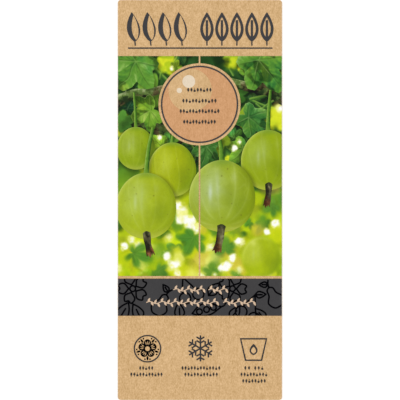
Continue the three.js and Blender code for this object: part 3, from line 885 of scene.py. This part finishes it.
def berry_paint(x, y, berry):
    """The skin of a gooseberry: lit from the upper left, with pale veins from its stalk to its flower."""
    seed = berry.seed
    rng = np.random.default_rng(seed)
    v = (y - berry.y) / berry.ry
    u = (x - berry.x) / (berry.rx * (1 - 0.05 * v))
    out = np.minimum(np.hypot(u, v), 1)
    w = np.sqrt(1 - out ** 2)
    normal = np.stack([u, v, w], -1)
    light = normal @ np.array([-0.50, 0.28, 0.82]) + 0.12 * clouds(x, y, 6, seed, 3)
    colour = toned(berry.tones, light, -0.15, 0.66, 0.66, 1.04, 0.7)

    ax, ay = berry.pole
    pole = np.array([ax, ay, math.sqrt(1 - ax * ax - ay * ay)])
    east = np.cross([0, 0, 1.0], pole)
    east /= np.linalg.norm(east)
    height = normal @ pole
    girth = np.sqrt(np.clip(1 - height ** 2, 0, 1))
    longitude = np.arctan2(normal @ np.cross(pole, east), normal @ east)
    fade = smooth(0.1, 0.5, girth) * (0.6 + 0.4 * w)
    veins, furrows = berry_veins(height, girth, longitude, seed, rng)
    colour = mix(colour, mix(berry.tones[2], rgb(204, 216, 128), 0.5), 0.56 * berry.veins * veins * fade)
    between = clouds(longitude * 2.2, height * 2.0, 1.0, seed + 4, 2)
    colour = scaled(colour, 1 + 0.05 * between * fade)
    colour = mix(colour, rgb(84, 116, 34), 0.5 * berry.furrows * furrows * fade)

    shine = np.hypot((u + 0.28) / 0.9, (v - 0.22) / 1.3) + 0.15 * clouds(x, y, 3, seed + 9, 3)
    hollow = np.hypot(u - 0.42, v + 0.24) + 0.08 * between
    colour = berry_light(colour, u, v, out, shine, hollow, berry)
    for _ in range(9):
        fx, fy, size = rng.uniform(-0.8, 0.8), rng.uniform(-0.8, 0.8), rng.uniform(0.010, 0.022)
        strength = rng.uniform(0.2, 0.7) if berry.soft < 0.5 else 0
        colour = mix(colour, rgb(92, 86, 30), strength * bell(np.hypot(u - fx, v - fy), size))
    colour = scaled(colour, 1 + 0.02 * clouds(x, y, 0.9, seed + 7, 3))
    if berry.soft < 0.5:
        return colour
    arc = bell(out - 0.84, 0.09) * smooth(0.0, 0.8, 0.8 * v - 0.5 * u)
    colour = mix(colour, rgb(218, 228, 112), 0.4 * arc + 0.6 * bell(np.hypot(u + 0.36, v - 0.6), 0.14))
    inside = (1 - out) * min(berry.rx, berry.ry)
    return mix(backdrop(x, y), colour, smooth(0, berry.soft, inside))


# ---- picture: pieces ----

PAINT_STEP, FLOWER_STEP, BACKDROP_STEP = 0.2, 0.14, 0.19  # millimetres between painted points
PATH_POINTS, TWIG_POINTS = 40, 60  # how many points a stalk's or a dried flower's path has, and a twig's
LEAF_POINTS, BERRY_POINTS = 260, 300  # how many points their outlines have
FEWEST = 12  # a half is left out where an outline gives fewer triangles on it
LEVEL_FILLED = 0.9  # how much of its level a piece fills
LEFT_LOW, LEFT_HIGH = box("picture_left")
RIGHT_LOW, RIGHT_HIGH = box("picture_right")
HALVES = {
    "left": rectangle(LEFT_LOW[0], LEFT_LOW[1] + 2 * CREEP, LEFT_HIGH[0] - CREEP, LEFT_HIGH[1]),
    "right": rectangle(RIGHT_LOW[0] + CREEP, RIGHT_LOW[1] + 2 * CREEP, *RIGHT_HIGH[:2]),
}
RIM = circle(MEDALLION, RIM_RADIUS, 240)


class Layer(NamedTuple):
    """A thing painted on the picture. gap tells how far outside it a point is, where it shades what it
    lies on and is shaded by what lies on it. solid tells whether it stands for its owner's solids."""
    owner: str
    part: str
    outlines: list
    paint: object
    slot: str
    gap: object = None
    step: float = PAINT_STEP
    solid: bool = True


def shaded(paint, gaps, strength=0.24):
    """The paint, darkened where nearer things shade it. gaps tell the distance to each of those."""
    def dark(x, y):
        colour = paint(x, y)
        for gap in gaps:
            near = smooth(1.4, -0.4, gap(x + SHADOW[0], y + SHADOW[1]))
            colour = scaled(colour, 1 - strength * near)
        return colour
    return dark


def berry_gap(berry):
    def gap(x, y):
        return (np.hypot((x - berry.x) / berry.rx, (y - berry.y) / berry.ry) - 1) * min(berry.rx, berry.ry)
    return gap


def leaf_gap(leaf):
    return lambda x, y: -leaf_place(x, y, leaf)[3]


def path_gap(path, width):
    return lambda x, y: np.abs(along_path(x, y, path)[1]) - width / 2


def twig_gap(twig):
    return path_gap(spline(twig.points, 30), 0.8 * twig.width)


def leaf_layer(name, leaf):
    def face(x, y):
        colour = leaf_paint(x, y, leaf)
        if leaf.soft < 1:
            return colour
        depth = leaf_place(x, y, leaf)[3] + 1.3 * clouds(x, y, 3.5, leaf.seed, 3)
        return mix(backdrop(x, y), mix(colour, leaf.tones[1], 0.7), 0.94 * smooth(0, leaf.soft, depth))

    angle = np.linspace(-math.pi, math.pi, LEAF_POINTS, endpoint=False)[::-1]
    ring = around(angle, lobed_reach(angle, leaf))[:, ::-1] * [leaf.wide, leaf.tall]
    ring = placed(ring, leaf.x, leaf.y, leaf.turn)
    return Layer(name, "blade", [ring], face, "leaf_print", leaf_gap(leaf) if leaf.soft < 1 else None)


def twig_layer(name, twig):
    path = spline(twig.points, TWIG_POINTS)
    along = np.linspace(0, 1, TWIG_POINTS)
    widths = twig.width * (1 - 0.45 * along) * (1 + 0.05 * np.sin(19 * along))
    upwards = 1 if path[-1][0] > path[0][0] else -1
    thorns = [placed(np.array([[-0.5, 0], [0.5, 0], [0.12, 0.6 * reach], [0, reach]]), x, y, turn)
              for x, y, turn, reach in twig.thorns]

    def face(x, y):
        share, off = along_path(x, y, path)
        across = np.clip(upwards * off / (np.interp(share, along, widths) / 2), -1, 1)
        return bark_paint(x, y, share, across, length_of(path), twig.seed)

    return Layer(name, "bark", [ribbon(path, widths), *thorns], face, "twig_print", twig_gap(twig))


def stalk_layer(name, berry):
    dx, length = berry.stalk
    top = berry.y + berry.ry
    path = spline([(berry.x, top - 0.8), (berry.x + 0.35 * dx, top + 0.5 * length),
                   (berry.x + dx, top + length)], PATH_POINTS)
    along = np.linspace(0, 1, PATH_POINTS)
    widths = berry.rx * (0.2 - 0.1 * along ** 0.5)

    def face(x, y):
        share, off = along_path(x, y, path)
        across = -off / (np.interp(share, along, widths) / 2)
        light = 0.52 - 0.42 * across + 0.2 * clouds(x, y, 1.2, berry.seed, 3)
        colour = toned(tones((44, 82, 28), (96, 142, 44), (160, 190, 92)), light, 0.1, 0.6, 0.6, 1.0, 0.8)
        return mix(colour, rgb(112, 148, 44), 0.7 * smooth(0.22, 0.0, share))

    gap = path_gap(path, 0.12 * berry.rx)
    return Layer(name, "stalk", [ribbon(path, widths)], face, "berry_print", gap, solid=False)


def skin_layer(name, berry):
    across, up = circle((0, 0), 1, BERRY_POINTS).T
    ring = np.stack([berry.x + across * berry.rx * (1 - 0.05 * up), berry.y + up * berry.ry], -1)
    return Layer(name, "skin", [ring], lambda x, y: berry_paint(x, y, berry), "berry_print",
                 berry_gap(berry) if berry.soft < 1 else None)


def flower_layer(name, berry):
    """The dried flower under a berry: a wrinkled tube that ends in ragged tips."""
    dx, length, width = berry.tail
    seed = berry.seed
    foot = berry.y - berry.ry
    root = np.array([berry.x + 0.8 * berry.pole[0] * berry.rx, foot + 2.2])
    end = np.array([berry.x + dx, foot - length])
    path = spline([root, 0.5 * (root + end) - [0.25 * math.copysign(1, dx), 0], end], PATH_POINTS)
    along = np.linspace(0, 1, PATH_POINTS)
    widths = width * (0.98 - 0.2 * np.sin(math.pi * along) + 0.05 * np.sin(11 * along + seed))
    right, left = np.split(ribbon(path, widths), 2)
    onward = (path[-1] - path[-2]) / np.linalg.norm(path[-1] - path[-2])
    jags = [0.2, -0.7, 0.6, 1.1, -0.5, 0.3, -1.0, 0.1]
    tips = [right[-1] + (left[0] - right[-1]) * (i + 0.6) / 8.2 + onward * 0.7 * jag
            for i, jag in enumerate(jags)]
    crown = [left[-1] + (right[0] - left[-1]) * share - onward * 0.8 * math.sin(math.pi * share)
             for share in (0.2, 0.4, 0.6, 0.8)]

    def face(x, y):
        share, off = along_path(x, y, path)
        across = -off / (width / 2)
        twist = across * 1.9 + 2.2 * share + 0.6 * noise(share * 4, across, seed)
        ridges = noise(twist, share * 1.8, seed + 1)
        light = 0.48 - 0.20 * across + 0.50 * ridges + 0.34 * clouds(x, y, 0.8, seed + 2, 3)
        colour = toned(tones((38, 36, 26), (84, 80, 54), (134, 132, 94)), light, 0.0, 0.5, 0.5, 1.05)
        rust = mix(rgb(84, 38, 22), rgb(168, 96, 58), smooth(0.2, 0.9, light))
        colour = mix(colour, rust, 0.65 * smooth(0.5, 0.95, share + 0.25 * noise(x, y, seed + 5)))
        return mix(colour, rgb(44, 54, 30), 0.6 * smooth(0.14, 0.0, share) * smooth(0.8, 0.2, light))

    ring = np.concatenate([right, tips, left, crown])
    return Layer(name, "flower", [ring], face, "berry_print", step=FLOWER_STEP, solid=False)


def draw_picture():
    """The backdrop in the lower printed layer, and the rest in thin levels of the upper one, farthest
    first. A layer gives a piece on each half that it reaches. Parts of one owner don't shade each other."""
    near = [leaf_gap(leaf) for leaf in LEAVES.values() if leaf.soft < 1]
    near += [twig_gap(twig) for twig in TWIGS.values()]
    near += [berry_gap(berry) for berry in BERRIES.values() if berry.y > 10]
    for side, half in HALVES.items():
        film(f"backdrop_{side}", area([half], [RIM], spacing=BACKDROP_STEP), (PICTURE, "picture_print"),
             f"picture_{side}", paint=shaded(backdrop, near, 0.28))

    layers = [twig_layer(*item) for item in reversed(TWIGS.items())]
    layers += [leaf_layer(*item) for item in reversed(LEAVES.items())]
    for name, berry in reversed(BERRIES.items()):
        if berry.stalk:
            layers.append(stalk_layer(name, berry))
        layers.append(skin_layer(name, berry))
        if berry.tail:
            layers.append(flower_layer(name, berry))

    free = set(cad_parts)
    step = (TOP - UPPER) / len(layers)
    for level, layer in enumerate(layers):
        nearer = [other.gap for other in layers[level + 1:] if other.gap and other.owner != layer.owner]
        paint = shaded(layer.paint, nearer) if layer.gap else layer.paint
        low = UPPER + level * step
        for side, half in HALVES.items():
            drawn = area(layer.outlines, [RIM], [half], layer.step)
            if len(drawn[1]) < FEWEST:
                continue
            nodes = [n for n in (layer.owner, f"{layer.owner}_{side}") if layer.solid and n in free]
            free.difference_update(nodes)
            film(f"{layer.owner}_{layer.part}_{side}", drawn, (PICTURE, layer.slot), *nodes,
                 low=low, high=low + LEVEL_FILLED * step, paint=paint)


draw_picture()


# ---- medallion ----

def small_rows(rows, height):
    """Rows of small upright leaves, with a hanging berry in every third place. A row is its left end, its
    right end, its height above the label's middle and how many places it has."""
    leaf = [pointed_leaf(0.46 * height, 0.82 * height, 12) - [0, 0.32 * height],
            rectangle(-0.05 * height, -0.5 * height, 0.05 * height, 0)]
    berry = [circle((0, -0.18 * height), 0.26 * height, 20),
             rectangle(-0.04 * height, 0, 0.04 * height, 0.5 * height)]
    rings = []
    for left, right, y, count in rows:
        pitch = (right - left) / count
        for i in range(count):
            rings += [ring + [left + (i + 0.5) * pitch, y] for ring in (berry if i % 3 == 2 else leaf)]
    return rings


MEDALLION_ROWS = [(-4.97, 4.52, 41.25, 8), (-6.80, 6.40, 37.16, 11), (-7.78, 7.48, 33.30, 13),
                  (-6.46, 6.10, 29.29, 11)]
ROW_HEIGHT = 1.75
GLOW_RADIUS = 8.14


def medallion():
    disc = circle(MEDALLION, RING_RADIUS + CREEP, 240)
    inside = circle(MEDALLION, RING_RADIUS - RING_WIDTH - CREEP, 240)
    film("copper_disc", area([disc]), COPPER_INK, "medallion_disc")
    film("dark_ring", area([disc], [inside]), DARK_INK, "medallion_ring", low=UPPER, high=TOP)
    low, high = box("medallion_glow")
    glow = circle([high[0] - GLOW_RADIUS, low[1] + GLOW_RADIUS], GLOW_RADIUS, 200)
    dots = [circle(middle(node), (box(node)[1][0] - box(node)[0][0]) / 2, 90)
            for node in ("medallion_dot_large", "medallion_dot_small")]
    film("glow_spot", area([glow], dots, [inside]), GLOW_INK, "medallion_glow", low=UPPER, high=SPOT_TOP)
    for size, dot in zip(("large", "small"), dots):
        film(f"light_dot_{size}", area([dot]), DOT_INK, f"medallion_dot_{size}", low=UPPER, high=SPOT_TOP)
    for number, row in enumerate(MEDALLION_ROWS, 1):
        leaves = area(small_rows([row], ROW_HEIGHT))
        film(f"medallion_leaves_{number}", leaves, SMALL_INK, low=SPOT_TOP, high=TOP)


medallion()


# ---- band ----

# Left end, right end, height above the label's middle, and how many pairs of leaves.
GARLANDS = {
    "upper_left": (-9.95, 1.8, -33.7, 5), "upper_right": (3.2, 10.3, -33.7, 3),
    "lower_left": (-20.1, 6.9, -38.45, 11), "lower_right": (8.7, 20.7, -38.45, 5),
}
GARLAND_LEAF, GARLAND_STEM, GARLAND_WAVE, GARLAND_LEAN = (0.82, 1.66), 0.32, 0.4, 0.5
LINE_WIDTH = 0.62  # of the band's drawn lines


def garland(left, right, y, pairs):
    """A waving stem with leaves set by turns on its two sides."""
    pitch = (right - left) / pairs
    x = np.linspace(left, right, 16 * pairs + 1)

    def crest(at):
        return y + GARLAND_WAVE * np.sin(math.pi * (at - left) / pitch)

    rings = [ribbon(np.stack([x, crest(x)], -1), GARLAND_STEM)]
    for i in range(2 * pairs):
        at = left + (i / 2 + 0.25) * pitch
        turn = math.pi + GARLAND_LEAN if i % 2 else -GARLAND_LEAN
        rings.append(placed(pointed_leaf(*GARLAND_LEAF, 10), at, crest(at), turn))
    return rings


# The lines of each motif, drawn at the size 1 about the origin.

def loop(x, y, radius, sides):
    ring = circle((x, y), radius, sides)
    return np.concatenate([ring, ring[:1]])


def leaf_lines(size=1.0, foot=(0, 0), turn=0.0):
    left = np.array([(0, 0), (-0.32, 0.35), (-0.25, 0.75), (0, 1.15)])
    rib = np.array([(0, 0), (0, 0.4), (0.02, 0.75)])
    return [placed(line * size, *foot, turn) for line in (left, left * [-1, 1], rib)]


def blossom_lines():
    petal = np.array([(0, 0.28), (-0.36, 0.62), (-0.24, 1.0), (0, 0.9), (0.24, 1.0), (0.36, 0.62),
                      (0, 0.28)])
    return [*(turned(petal, i * 2 * math.pi / 5) for i in range(5)), loop(0, 0, 0.2, 9)]


def cherry_lines():
    lines = []
    for x, y in ((-0.46, -0.5), (0.42, -0.66)):
        lines += [loop(x, y, 0.36, 12), np.array([(x, y + 0.34), (0.6 * x, 0.2), (0.05, 0.75)])]
    return lines + leaf_lines(0.6, (0.05, 0.75), -1.2)


def pear_lines():
    body = np.array([(0, 0.55), (-0.2, 0.4), (-0.26, 0.05), (-0.5, -0.35), (-0.3, -0.75), (0, -0.82),
                     (0.3, -0.75), (0.5, -0.35), (0.26, 0.05), (0.2, 0.4), (0, 0.55)])
    stem = np.array([(0, 0.52), (0.04, 0.75), (0.16, 0.95)])
    return [body, stem, *leaf_lines(0.5, (0.05, 0.72), 1.1)]


def pod_lines():
    top = np.array([(-1, 0.1), (-0.4, 0.46), (0.3, 0.44), (1, -0.05)])
    bottom = np.array([(-1, 0.1), (-0.5, -0.24), (0.2, -0.32), (1, -0.05)])
    peas = [loop(x, 0.07, 0.19, 9) for x in (-0.5, 0.0, 0.48)]
    return [top, bottom, *peas, np.array([(1, -0.05), (1.2, -0.02), (1.35, 0.1)])]


# What is drawn, where from the band's middle, how large and how turned.
MOTIFS = [
    (blossom_lines, -25.2, 3.2, 5.4, 0.3), (leaf_lines, -30.4, -8.6, 6.6, -0.5),
    (pear_lines, -14.2, -2.0, 6.2, -0.5), (leaf_lines, -21.8, -8.6, 6.0, 0.5),
    (cherry_lines, -4.6, 3.4, 5.8, 0.5), (pod_lines, 2.6, -5.0, 5.6, 0.3),
    (leaf_lines, -7.4, -8.2, 5.4, 0.1), (blossom_lines, 12.2, 3.2, 5.2, 0.9),
    (leaf_lines, 3.2, 0.6, 5.4, -0.7), (cherry_lines, 19.0, -3.4, 6.0, -0.3),
    (leaf_lines, 11.4, -8.4, 5.4, -0.6), (pear_lines, 27.4, 0.8, 6.0, 0.5),
    (leaf_lines, 24.6, -8.8, 5.2, 0.7),
]


def band():
    low, high = box("band")
    edge = rectangle(*low[:2], *high[:2])
    film("dark_band", area([edge]), BAND_INK, "band")
    strokes = []
    for draw, x, y, size, turn in MOTIFS:
        x, y = middle("band") + [x, y]
        strokes += [stroke(placed(line * size, x, y, turn), LINE_WIDTH) for line in draw()]
    film("band_pattern", area(strokes, clips=[edge]), PATTERN_INK, low=UPPER, high=PATTERN_TOP)
    for name, place in GARLANDS.items():
        leaves = area(garland(*place))
        film(f"tan_garland_{name}", leaves, TAN_INK, f"band_garland_{name}", low=UPPER, high=TOP)


band()


# ---- symbols and their captions ----

STROKE = 0.42
SYMBOL_RADIUS = 5.14
PETAL_FOOT, PETAL_REACH, EYE_RADIUS = 2.2, 1.3, 0.9
SLIT, SLIT_FOOT, SLIT_SPREAD = (0.34, 1.5), 1.45, 0.28  # in the petals
SPRIG, SPRIG_FOOT = (0.75, 1.75), np.array([0, 2.75])
BERRY_RADIUS, BERRY_REACH, BERRY_SPREAD = 0.3, np.array([0, 4.05]), 0.24
FLAKE_ARM, FLAKE_TWIG, FLAKE_HALF = 4.9, 1.7, 0.24 + CREEP  # the lines' lengths, and half their width
FLAKE_SHARES = 0.42, 0.7  # how far along an arm its twigs stand
POT_HALF_TOP, POT_HALF_FOOT = 5.1, 3.2
DROP_WIDTH, DROP_HEIGHT = 3, 4.2


def blossom_symbol():
    centre = middle("symbol_ring")
    rim, inside = (circle(centre, r) for r in (SYMBOL_RADIUS + CREEP, SYMBOL_RADIUS - STROKE - CREEP))
    film("care_ring", area([rim], [inside]), SYMBOL_INK, "symbol_ring")
    angle = np.linspace(-math.pi, math.pi, 200, endpoint=False)[::-1]
    reach = PETAL_FOOT + PETAL_REACH * np.abs(np.cos(2.5 * angle)) ** 0.7
    slit = placed(pointed_leaf(*SLIT, 8), 0, SLIT_FOOT)
    fifth = 2 * math.pi / 5
    holes = [circle(centre, EYE_RADIUS, 60)]
    for i in range(5):
        holes += [turned(slit, i * fifth + side) + centre for side in (-SLIT_SPREAD, 0, SLIT_SPREAD)]
    petals = around(angle, reach)[:, ::-1] + centre
    film("care_blossom", area([petals], holes), BLOSSOM_INK, "symbol_blossom")
    sprigs = []
    for turn in [(i + 0.5) * fifth for i in range(5)]:
        foot = turned(SPRIG_FOOT, turn) + centre
        sprigs.append(placed(pointed_leaf(*SPRIG, 12), *foot, turn))
        for side in (-BERRY_SPREAD, BERRY_SPREAD):
            sprigs.append(circle(turned(BERRY_REACH, turn + side) + centre, BERRY_RADIUS, 20))
    film("care_sprigs", area(sprigs), BLOSSOM_INK)


def snowflake_symbol():
    centre = middle("symbol_snowflake")
    arm, twig = (rectangle(-FLAKE_HALF, 0, FLAKE_HALF, length) for length in (FLAKE_ARM, FLAKE_TWIG))
    outlines = []
    for turn in np.arange(6) * (math.pi / 3):
        outlines.append(placed(arm, *centre, turn))
        for share in FLAKE_SHARES:
            foot = turned(np.array([0, share * FLAKE_ARM]), turn) + centre
            outlines += [placed(twig, *foot, turn + side * math.pi / 3) for side in (-1, 1)]
    film("care_snowflake", area(outlines), SYMBOL_INK, "symbol_snowflake")


def pot_symbol():
    low, high = box("symbol_pot")
    x, bottom, top = (low[0] + high[0]) / 2, low[1], high[1]

    def taper(half_top, half_foot, inset):
        return np.array([(x - half_foot, bottom + inset), (x + half_foot, bottom + inset),
                         (x + half_top, top - inset), (x - half_top, top - inset)])

    line = STROKE + 1.5 * CREEP
    pot = taper(POT_HALF_TOP + CREEP, POT_HALF_FOOT + CREEP, -CREEP)
    inside = taper(POT_HALF_TOP - 1.15 * line, POT_HALF_FOOT - 0.85 * line, line)
    film("care_pot", area([pot], [inside]), SYMBOL_INK, "symbol_pot")
    foot = (top + bottom) / 2 - DROP_HEIGHT / 2
    drop = placed(pointed_leaf(DROP_WIDTH, DROP_HEIGHT), x, foot)
    eye = placed(pointed_leaf(DROP_WIDTH - 2.4 * line, DROP_HEIGHT - 3.4 * line), x, foot + 1.2 * line)
    film("care_drop", area([drop], [eye]), SYMBOL_INK, "symbol_drop")


CAPTION_HEIGHT = 1.6
CAPTIONS = {
    "blossom": [(-22.97, -17.34, -63.04, 5), (-26.30, -13.85, -65.44, 11)],
    "snowflake": [(-7.10, 7.82, -63.04, 13), (-6.05, 6.89, -65.44, 11)],
    "pot": [(16.34, 19.1, -63.04, 2), (20.1, 24.02, -63.04, 3), (15.02, 25.41, -65.44, 9),
            (15.66, 24.85, -67.88, 8)],
}


def captions():
    for name, rows in CAPTIONS.items():
        film(f"caption_leaves_{name}", area(small_rows(rows, CAPTION_HEIGHT)), SMALL_INK)


blossom_symbol()
snowflake_symbol()
pot_symbol()
captions()


# ---- studio ----

FLOOR_HALF, FLOOR_BOTTOM, FLOOR_TOP = 3000, -20, -0.02
LAMP_SIZE = 0.7  # metres
LAMPS = {"key": ((-0.75, 0.55, 0.95), 2.5), "fill": ((0.85, -0.35, 0.9), 1.3)}  # metres, watts
SENSOR, LENS = 36, 200  # millimetres: a long lens, for little perspective
CAMERA_X = 0.02  # millimetres that the label lies left of the photograph's middle
WHITE = (1, 1, 1, 1)


def stand(name, data, place):
    """Puts a lamp or the camera in the scene."""
    obj = bpy.data.objects.new(name, data)
    obj.location = place
    bpy.context.scene.collection.objects.link(obj)
    return obj


def studio():
    edge = rectangle(-FLOOR_HALF, -FLOOR_HALF, FLOOR_HALF, FLOOR_HALF)
    floor = sheet("floor", area([edge]), FLOOR_BOTTOM, FLOOR_TOP)
    paper = bpy.data.materials.new("floor_paper")
    paper.use_nodes = True
    paper.node_tree.nodes["Principled BSDF"].inputs["Base Color"].default_value = WHITE
    paper.node_tree.nodes["Principled BSDF"].inputs["Roughness"].default_value = 0.9
    floor.data.materials.append(paper)

    scene = bpy.context.scene
    scene.world = bpy.data.worlds.new("studio")
    scene.world.use_nodes = True
    scene.world.node_tree.nodes["Background"].inputs["Color"].default_value = WHITE
    scene.world.node_tree.nodes["Background"].inputs["Strength"].default_value = 1.0

    for name, (place, power) in LAMPS.items():
        lamp = bpy.data.lights.new(name, "AREA")
        lamp.shape = "DISK"
        lamp.size = LAMP_SIZE
        lamp.energy = power
        obj = stand(name, lamp, place)
        obj.rotation_euler = (-Vector(place)).to_track_quat("-Z", "Y").to_euler()

    camera = bpy.data.cameras.new("camera")
    camera.sensor_width = SENSOR
    camera.lens = LENS
    away = (CARD_HIGH[1] - CARD_LOW[1]) * MM * LENS / SENSOR  # where the label fills the picture's height
    scene.camera = stand("camera", camera, (CAMERA_X * MM, 0, away + LOWER * MM))
    scene.view_settings.view_transform = "Standard"


studio()
